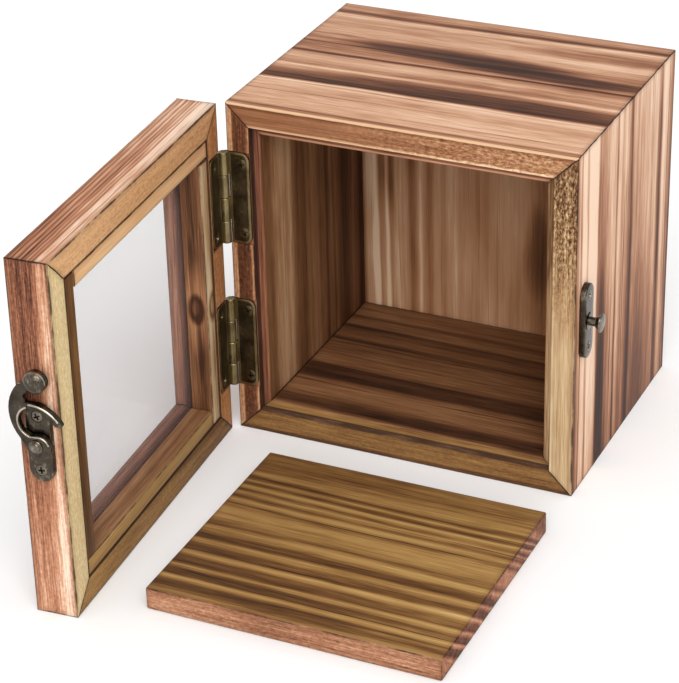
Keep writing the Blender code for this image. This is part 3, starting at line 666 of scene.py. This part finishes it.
def build_door():
    """The door's four members, its pane and the four beads."""
    outline = [(0, 0), (MEMBER_WIDTH, 0), (MEMBER_WIDTH, -LIP_THICKNESS), (MEMBER_FACE, -LIP_THICKNESS),
               (MEMBER_FACE, -DOOR_THICKNESS), (0, -DOOR_THICKNESS)]
    inner = dict(axis="Z", start=-DOOR_THICKNESS + 0.7 * MM, end=-DOOR_THICKNESS + 0.15 * MM)
    edge_bands = [(0.0, 0.0), (0.04, 0.5), (0.12, 0.42), (0.2, 0.55), (0.3, 0.34), (0.38, 0.42),
                  (0.5, 0.3), (0.6, 0.44), (0.7, 0.62), (0.78, 0.9), (0.93, 0.86), (0.97, 0.4),
                  (1.0, 0.1)]
    stripe_bands = [(0.0, 0.2), (0.04, 0.66), (0.08, 0.3), (0.12, 0.66), (0.17, 0.22), (0.23, 0.74),
                    (0.27, 0.5), (0.3, 0.22), (0.36, 0.66), (0.41, 0.12), (0.45, 0.6), (0.49, 0.24),
                    (0.53, 0.74), (0.57, 0.36), (0.62, 0.7), (0.66, 0.3), (0.7, 0.78), (0.8, 0.84),
                    (0.84, 0.6), (0.88, 0.86), (0.96, 0.7), (1.0, 0.2)]
    looks = {
        "door_bottom_rail": (edge_bands, Zone(RED),
                             Zone(OLIVE, **inner, shift=0.02, contrast=0.2, grain=0.7, speckle=0.3, fade=0.2),
                             23.0),
        "door_latch_stile": (edge_bands, Zone(RED, contrast=0.8, shift=-0.1, speckle=0.4, fade=-0.4),
                             Zone(PALE, **inner, shift=0.22, contrast=0.1, grain=0.5, speckle=0.8), 29.0),
        "door_top_rail": (stripe_bands, Zone(RED, shift=0.1, contrast=0.9, grain=0.8, fade=0.3),
                          Zone(TAN, **inner, shift=0.08, contrast=0.1, grain=0.5, speckle=0.5, fade=-0.1),
                          31.0),
        "door_hinge_stile": (edge_bands, Zone(RED, contrast=0.9),
                             Zone(TAN, **inner, shift=-0.14, contrast=0.2, grain=0.6, speckle=0.4), 37.0),
    }
    low, high = CASE_LOW.x, CASE_HIGH.x
    corners = [(low, 0), (high, 0), (high, CASE_HEIGHT), (low, CASE_HEIGHT)]
    for turn, (name, (bands, outer_zone, inner_zone, seed)) in enumerate(looks.items()):
        length = CASE_HEIGHT if turn % 2 else CASE_WIDTH
        # A charred line beside where each bead sits is painted shade in the gap.
        material = wood(f"{name}_wood", (length, MEMBER_WIDTH, DOOR_THICKNESS), (12, -1 / DOOR_THICKNESS),
                        bands, [outer_zone, inner_zone], seed, bend=0.03, fibres=0.5, patches=0.3,
                        lines=0.15, shaded_gaps=(MEMBER_FACE - 0.3 * MM,), burn_width=0.6 * MM)
        matrix = member_matrix(corners[turn], turn, DOOR_OUTER)
        member = prism(outline, length, 1)
        if name == "door_hinge_stile":
            to_own = matrix.inverted()
            combine(member, "DIFFERENCE", *[place(pocket, to_own) for pocket in hinge_pockets(True)])
        piece(member, name + "_member", "door", material, [name], OPEN_DOOR @ matrix)

    inset = MEMBER_FACE + FIT_GAP
    left, right = low + inset, high - inset
    bottom, top = inset, CASE_HEIGHT - inset
    glass_back = DOOR_OUTER + LIP_THICKNESS + 0.2 * MM
    pane = prism([(0, 0), (right - left, 0), (right - left, -GLASS_THICKNESS), (0, -GLASS_THICKNESS)],
                 top - bottom, 0, 0.15 * MM)
    matrix = Matrix(((0, 1, 0), (0, 0, -1), (1, 0, 0))).to_4x4()
    matrix.translation = (left, glass_back, bottom)
    piece(pane, "door_pane", "door", glass(), ["door_glass"], OPEN_DOOR @ matrix)

    near_face = glass_back + GLASS_THICKNESS + 0.1 * MM
    depth = DOOR_INNER - 0.2 * MM - near_face
    run = right - left - BEAD_WIDTH - BEAD_END_GAP
    bands = [(0.0, 0.5), (0.3, 0.75), (0.6, 0.45), (1.0, 0.7)]
    outline = [(0, 0), (BEAD_WIDTH, 0), (BEAD_WIDTH, -depth), (0, -depth)]
    face = dict(axis="Z", start=-depth + 0.5 * MM, end=-depth + 0.1 * MM)
    # Each bead starts in one corner and runs along the frame to the side of the next. One has a knot.
    knot = [(47 * MM, 0.58, 7.5 * MM, 0.24, -0.62), (47.5 * MM, 0.58, 4.6 * MM, 0.13, 0.34),
            (47 * MM, 0.58, 24 * MM, 0.3, 0.24), (64 * MM, 0.52, 16 * MM, 0.08, -0.2),
            (30 * MM, 0.62, 16 * MM, 0.08, -0.24)]
    # The beads' sides are darker than their faces, and the latch-side bead is dark on its face too: partly
    # burnt wood and partly painted shade within the frame.
    beads = {
        "door_top_bead": ((left, top), (1, 0), (),
                          [Zone(TAN, shift=-0.2), Zone(TAN, **face, shift=0.14)], 41.0),
        "door_latch_side_bead": ((right, top), (0, -1), (),
                                 [Zone(DARK, shift=-0.1), Zone(OLIVE, **face, shift=-0.3)], 43.0),
        "door_bottom_bead": ((right, bottom), (-1, 0), (),
                             [Zone(DARK, shift=0.1), Zone(OLIVE, **face, shift=0.1)], 47.0),
        "door_hinge_side_bead": ((left, bottom), (0, 1), knot,
                                 [Zone(BROWN, shift=-0.26), Zone(GOLD, **face, shift=0.12)], 53.0),
    }
    for name, (corner, along, clouds, zones, seed) in beads.items():
        inward = (along[1], -along[0])
        matrix = Matrix(((along[0], inward[0], 0), (0, 0, -1), (along[1], inward[1], 0))).to_4x4()
        matrix.translation = (corner[0], near_face, corner[1])
        material = wood(f"{name}_wood", (run, BEAD_WIDTH, depth), (60, -60), bands, zones, seed,
                        bend=0.1, lines=0.15, clouds=clouds, burn_width=0.35 * MM, mitred=False)
        bead = prism(outline, run, 0, 0.4 * MM)
        piece(bead, name + "_strip", "door", material, [name], OPEN_DOOR @ matrix)


def build_base_board():
    """The loose board in front of the case, its grain along X and its top face up."""
    low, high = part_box("base_board")
    size = high - low
    bands = [(0.09, 0.5), (0.14, 0.58), (0.165, 0.2), (0.2, 0.3), (0.225, 0.7), (0.245, 0.24),
             (0.275, 0.3), (0.3, 0.66), (0.32, 0.22), (0.36, 0.34), (0.385, 0.72), (0.405, 0.26),
             (0.44, 0.28), (0.47, 0.68), (0.49, 0.22), (0.53, 0.4), (0.56, 0.7), (0.585, 0.34),
             (0.62, 0.55), (0.7, 0.62), (0.73, 0.34), (0.76, 0.66), (0.785, 0.3), (0.81, 0.68),
             (0.83, 0.24), (0.86, 0.7), (0.88, 0.2), (0.905, 0.68), (0.925, 0.2), (0.95, 0.6),
             (1.0, 0.4)]
    zones = [Zone(OLIVE, shift=-0.03, contrast=1.1, fade=0.16),
             Zone(PINK, axis="Z", start=-0.7 * MM, end=-0.1 * MM, contrast=0.3, speckle=0.4),
             Zone(RED, axis="X", start=size.x - 0.7 * MM, end=size.x - 0.1 * MM, shift=-0.08, contrast=1.3)]
    material = wood("base_board_wood", (size.x, size.z, size.y), (14, -1 / size.y), bands, zones, 61.0,
                    bend=0.025, slope=0.1, burn_width=0.45 * MM, mitred=False)
    board = prism([(0, 0), (size.z, 0), (size.z, -size.y), (0, -size.y)], size.x, 0, 0.7 * MM, 0.7 * MM)
    matrix = Matrix(((1, 0, 0), (0, 0, -1), (0, 1, 0))).to_4x4()
    matrix.translation = (low.x, low.y, low.z)
    piece(board, "loose_base_board", "base_board", material, ["base_board"], matrix)


# Metal pieces. Hardware is modelled lying flat with Z out of the wood, then turned into place.


def in_metres(*points):
    """Points given in millimetres, in metres."""
    return [(a * MM, b * MM) for a, b in points]


def make_screw():
    """A screw's head with a cross recess, its face's middle at the origin."""
    rim = SCREW_HEAD_RADIUS
    profile = in_metres((0, -1.3), (0.8, -1.3))
    profile += [(rim, -0.12 * MM), (rim, -0.04 * MM), (rim * 0.94, 0.04 * MM)]
    profile += in_metres((1.5, 0.1), (0.9, 0.14), (0, 0.15))
    head = turned(profile, 40)
    arms = []
    for quarter in (0, 1):
        turn = Matrix.Rotation(math.pi / 2 * quarter, 3, "Z")
        rings = []
        for height, arm, half in ((0.3, 1.3, 0.34), (-0.75, 0.8, 0.2)):
            corners = ((-arm, -half), (arm, -half), (arm, half), (-arm, half))
            rings.append([turn @ Vector((x, y, height)) * MM for x, y in corners])
        arms.append(to_object(loft(rings)))
    return combine(head, "DIFFERENCE", *arms)


def facing(origin, right, outward):
    """Where flat hardware lies: X to the right, Z outward, and Y between them."""
    right, outward = Vector(right), Vector(outward)
    matrix = Matrix((right, outward.cross(right), outward)).transposed().to_4x4()
    matrix.translation = origin
    return matrix


def add_screw(model, name, node, body, material, spot, turn_deg):
    """A copy of the screw for a CAD node, turned about its own axis."""
    copy = bpy.data.objects.new(name, model.data.copy())
    bpy.context.scene.collection.objects.link(copy)
    piece(copy, name, body, material, [node], spot @ Matrix.Rotation(math.radians(turn_deg), 4, "Z"))


def countersink(matrix):
    """A cutter for the hole that a screw's head lies in."""
    gap = 0.12 * MM
    rim = SCREW_HEAD_RADIUS + gap
    profile = in_metres((0, -1.5), (0.9, -1.5)) + [(rim, -0.1 * MM), (rim + 0.1 * MM, MM), (0, MM)]
    return place(turned(profile, 40), matrix)


def plate(outline, back, face, edge):
    """A flat plate from an outline of (X, Y) points, the edges of its face rounded."""
    item = to_object(loft([[(x, y, z) for x, y in outline] for z in (back, face)]))
    count = len(outline)
    weights = {e.index: 1 for e in item.data.edges if min(e.vertices) >= count}
    return rounded(item, weights, edge)


def leaf_screws():
    """The places of a leaf's screws on its face, from the middle of the pin."""
    face = LEAF_THICKNESS - KNUCKLE_RADIUS
    return [Matrix.Translation((HINGE_SCREW_REACH, rise * HINGE_SCREW_OFFSET, face)) for rise in (1, -1)]


def make_leaf():
    """A leaf about the middle of its pin, with the top knuckle: X across it, Y up and Z out of the wood."""
    length = 2 * LEAF_HALF / KNUCKLE_COUNT
    notch = KNUCKLE_RADIUS + 0.15 * MM
    back, face = -KNUCKLE_RADIUS, LEAF_THICKNESS - KNUCKLE_RADIUS
    reach, rise = LEAF_REACH - LEAF_CORNER, LEAF_HALF - LEAF_CORNER
    steps = [LEAF_HALF - index * length for index in range(KNUCKLE_COUNT + 1)]
    outline = arc((reach, -rise), LEAF_CORNER, -90, 0) + arc((reach, rise), LEAF_CORNER, 0, 90)
    for index in range(KNUCKLE_COUNT):
        x = notch if index % 2 else 0.0
        outline += [(x, steps[index]), (x, steps[index + 1])]
    leaf = plate(outline, back, face, 0.16 * MM)

    corner = LEAF_CORNER - RIM_WIDTH
    field = [(notch + 0.6 * MM, -LEAF_HALF + RIM_WIDTH)]
    field += arc((reach, -rise), corner, -90, 0) + arc((reach, rise), corner, 0, 90)
    field += [(notch + 0.6 * MM, LEAF_HALF - RIM_WIDTH)]
    sunk = to_object(loft([[(x, y, z) for x, y in field] for z in (face - RIM_HEIGHT, face + MM)]))
    combine(leaf, "DIFFERENCE", sunk, *[countersink(spot) for spot in leaf_screws()])

    knuckles = []
    for index in range(0, KNUCKLE_COUNT, 2):
        top, bottom = steps[index] - 0.1 * MM, steps[index + 1] + 0.1 * MM
        soft = 0.2 * MM
        bore = PIN_RADIUS + 0.05 * MM
        profile = [(bore, bottom), (KNUCKLE_RADIUS - soft, bottom), (KNUCKLE_RADIUS, bottom + soft),
                   (KNUCKLE_RADIUS, top - soft), (KNUCKLE_RADIUS - soft, top), (bore, top)]
        knuckles.append(place(turned(profile, 40, closed=True), Matrix.Rotation(math.radians(-90), 4, "X")))
    return combine(leaf, "UNION", *knuckles)


def build_hinges(screw):
    """Two hinges. The leaves on the door are the same as those on the case, turned end over end."""
    rim = LEAF_THICKNESS - KNUCKLE_RADIUS
    # The leaves' raised rims and knuckles are brighter: a painted highlight that also stands for brass worn
    # bright.
    brass = metal("antique_brass", (46, 38, 28), (92, 80, 58), (158, 142, 102), 0.4, 5.0,
                  worn=(rim - 0.12 * MM, rim - 0.02 * MM, 3 * MM, 4 * MM))
    screw_brass = metal("screw_brass", (44, 37, 28), (112, 99, 74), (176, 162, 128), 0.34, 9.0)
    model = make_leaf()
    for label, turns in (("upper", (12, 38, 55, 80)), ("lower", (25, 3, 62, 40))):
        low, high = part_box(f"{label}_hinge_case_leaf")
        middle = Vector((PIN_AXIS.x, PIN_AXIS.y, (low.z + high.z) / 2))
        sides = {"case": (facing(middle, (1, 0, 0), (0, -1, 0)), ("upper", "lower")),
                 "door": (OPEN_DOOR @ facing(middle, (1, 0, 0), (0, 1, 0)), ("lower", "upper"))}
        for side, (matrix, order) in sides.items():
            leaf = bpy.data.objects.new("leaf", model.data.copy())
            bpy.context.scene.collection.objects.link(leaf)
            node = f"{label}_hinge_{side}_leaf"
            piece(leaf, f"{node}_plate", side, brass, [node], matrix)
            for which, spot, turn in zip(order, leaf_screws(), turns[:2] if side == "case" else turns[2:]):
                name = f"{node}_{which}_screw"
                add_screw(screw, f"{name}_head", name, side, screw_brass, matrix @ spot, turn)
        tip = LEAF_HALF - 0.05 * MM
        profile = [(0, -tip), (0.4 * MM, -tip), (PIN_RADIUS, -tip + 0.2 * MM), (PIN_RADIUS, tip - 0.2 * MM),
                   (0.4 * MM, tip), (0, tip)]
        piece(turned(profile, 24), f"{label}_hinge_pin_rod", "case", screw_brass, [f"{label}_hinge_pin"],
              Matrix.Translation(middle))
    bpy.data.objects.remove(model)


def hook_outline():
    """The hook about its rivet in millimetres: X towards the case and Y up.

    It goes round the hub, the round mouth, the beak, the slot for the post, the knob and the arm."""
    outline = arc((1, -0.2), 4.4, 215, 465)
    outline += arc((0, 8.9), 5.3, 255, 110)
    outline += arc((-2.2, 2.6), 11.3, 82, 32)
    outline += arc((8.93, 9.4), 1, 225, 391, 20)
    outline += arc((-1, 3.4), 12.6, 35, 97)
    outline += arc((-1.4, 17.85), 1.75, 235, 110, 20)
    outline += arc(KNOB_PLACE, KNOB_RADIUS, 228, 545)
    outline += [(-3.4, 22.7)]
    outline += arc((6.6, 12), 15.4, 139, 218)
    return in_metres(*outline)


def ridge(path, radius, height):
    """A raised bead that follows a path of (X, Y) points in millimetres, half sunk at a height."""
    curve = bpy.data.curves.new("ridge", "CURVE")
    curve.dimensions = "3D"
    curve.bevel_depth = radius
    curve.bevel_resolution = 3
    curve.use_fill_caps = True
    spline = curve.splines.new("POLY")
    spline.points.add(len(path) - 1)
    for point, (x, y) in zip(spline.points, path):
        point.co = (x * MM, y * MM, height, 1)
    item = bpy.data.objects.new("ridge", curve)
    bpy.context.scene.collection.objects.link(item)
    mesh = bpy.data.meshes.new_from_object(item.evaluated_get(bpy.context.evaluated_depsgraph_get()))
    bpy.data.objects.remove(item)
    bm = bmesh.new()
    bm.from_mesh(mesh)
    bmesh.ops.remove_doubles(bm, verts=bm.verts, dist=0.001 * MM)
    return to_object(bm)


def make_plate():
    """A latch plate with round ends, its middle at the origin on the wood's face."""
    radius = PLATE_WIDTH / 2
    straight = PLATE_LENGTH / 2 - radius
    outline = arc((0, straight), radius, 0, 180) + arc((0, -straight), radius, 180, 360)
    base = plate(outline, 0.05 * MM, PLATE_FACE, 0.45 * MM)
    return combine(base, "DIFFERENCE", *[countersink(spot) for spot in plate_screws()])


def plate_screws():
    """The places of a latch plate's screws."""
    return [Matrix.Translation((0, rise * PLATE_SCREW_OFFSET, PLATE_FACE)) for rise in (1, -1)]


def build_latch(screw):
    """The hook, its plate and rivet on the door, and the plate and post on the case."""
    # The hook's ridges are brighter, a painted highlight that also stands for bronze worn bright, and its
    # knob darkens again.
    bronze = metal("dark_bronze", (36, 32, 28), (82, 74, 64), (196, 186, 168), 0.26, 15.0,
                   worn=[HOOK_FACE + rise * MM for rise in (0.05, 0.25, 0.5, 1)])
    bright = metal("rubbed_bronze", (44, 40, 36), (118, 108, 96), (200, 192, 176), 0.22, 21.0)
    door_side = OPEN_DOOR @ facing(HOOK_AXIS, (0, 1, 0), (1, 0, 0))
    case_side = facing(POST_AXIS, (0, 1, 0), (1, 0, 0))
    for name, matrix, body, turns in (("latch_plate", door_side, "door", (28, 8)),
                                      ("strike_plate", case_side, "case", (50, 20))):
        piece(make_plate(), f"{name}_body", body, bronze, [name], matrix)
        for which, spot, turn in zip(("upper", "lower"), plate_screws(), turns):
            node = f"{name}_{which}_screw"
            add_screw(screw, f"{node}_head", node, body, bright, matrix @ spot, turn)

    hook = plate(hook_outline(), HOOK_BACK, HOOK_FACE, 0.4 * MM)
    knob_middle = HOOK_BACK + (KNOB_HALF_THICKNESS + 0.05) * MM
    steps = 16
    angles = [math.pi * (step / steps - 0.5) for step in range(steps + 1)]
    profile = [(KNOB_RADIUS * MM * math.cos(a), knob_middle + KNOB_HALF_THICKNESS * MM * math.sin(a))
               for a in angles]
    profile[0], profile[-1] = (0, profile[0][1]), (0, profile[-1][1])
    knob = place(turned(profile), Matrix.Translation((KNOB_PLACE[0] * MM, KNOB_PLACE[1] * MM, 0)))
    inner = arc((1, -0.2), 3.85, 20, 100) + arc((0, 8.9), 5.85, 250, 112)
    beak = arc((-1, 3.4), 12.0, 92, 36)
    beads = [ridge(inner, 0.42 * MM, HOOK_FACE - 0.1 * MM), ridge(beak, 0.5 * MM, HOOK_FACE - 0.1 * MM)]
    combine(hook, "UNION", knob, *beads)
    piece(hook, "swing_hook", "latch_hook", bronze, ["latch_hook"], door_side)

    head = HOOK_FACE + 0.1 * MM
    profile = [(0, MM), (1.25 * MM, MM), (1.25 * MM, head), (2.4 * MM, head), (2.4 * MM, head + 0.25 * MM),
               (2.2 * MM, head + 0.42 * MM), (1.9 * MM, head + 0.3 * MM), (1.7 * MM, head + 0.4 * MM)]
    rivet = turned(profile + dome(1.62 * MM, head + 0.55 * MM, head + 1.15 * MM))
    piece(rivet, "latch_rivet_head", "door", bright, ["latch_rivet"], door_side)

    top = cad_box[1].x - POST_AXIS.x
    # A flange on the plate, a neck that the hook's slot passes, and a head that flares clear of its knob
    profile = in_metres((0, 1), (1.2, 1), (1.2, 2.25), (3.1, 2.25), (3.2, 2.4), (2.9, 2.55), (1.6, 2.6),
                        (1.6, 4.95), (1.95, 5), (2.2, 5.45), (2.6, 5.85), (3.1, 6.25), (3.5, 6.6), (3.4, 6.8))
    post = turned(profile + dome(3.3 * MM, 6.85 * MM, top))
    piece(post, "strike_post_knob", "case", bright, ["strike_post"], case_side)


build_case()
build_door()
build_base_board()
screw_model = make_screw()
build_hinges(screw_model)
build_latch(screw_model)
bpy.data.objects.remove(screw_model)

floor_mesh = cut_block((-4, -4, -0.02), (4, 4, 0))
floor_mesh.name = "floor"
floor_pattern = Pattern("white_floor")
floor_pattern.surface["Base Color"].default_value = (0.96, 0.96, 0.96, 1)
floor_pattern.surface["Roughness"].default_value = 0.9
floor_mesh.data.materials.append(floor_pattern.material)

world = bpy.data.worlds.new("studio")
world.use_nodes = True
world.node_tree.nodes["Background"].inputs["Color"].default_value = (1, 1, 1, 1)
world.node_tree.nodes["Background"].inputs["Strength"].default_value = 0.7
bpy.context.scene.world = world
bpy.context.scene.view_settings.view_transform = "Standard"

# A soft key from above and a lower fill from the front that reaches into the case: (power, angle, tilts)
for name, power, spread, tilts in (("key", 1.2, 35, (38, 12, 20)), ("fill", 1.1, 40, (62, 0, 14))):
    light = bpy.data.objects.new(name, bpy.data.lights.new(name, "SUN"))
    light.data.energy = power
    light.data.angle = math.radians(spread)
    light.rotation_euler = [math.radians(tilt) for tilt in tilts]
    bpy.context.scene.collection.objects.link(light)

camera = bpy.data.objects.new("camera", bpy.data.cameras.new("camera"))
camera.location = (0.3182, -0.7743, 0.4784)
camera.rotation_euler = (math.radians(61.5), math.radians(1.25), math.radians(24.39))
camera.data.lens = 132.5
camera.data.shift_x = -0.015
bpy.context.scene.collection.objects.link(camera)
bpy.context.scene.camera = camera
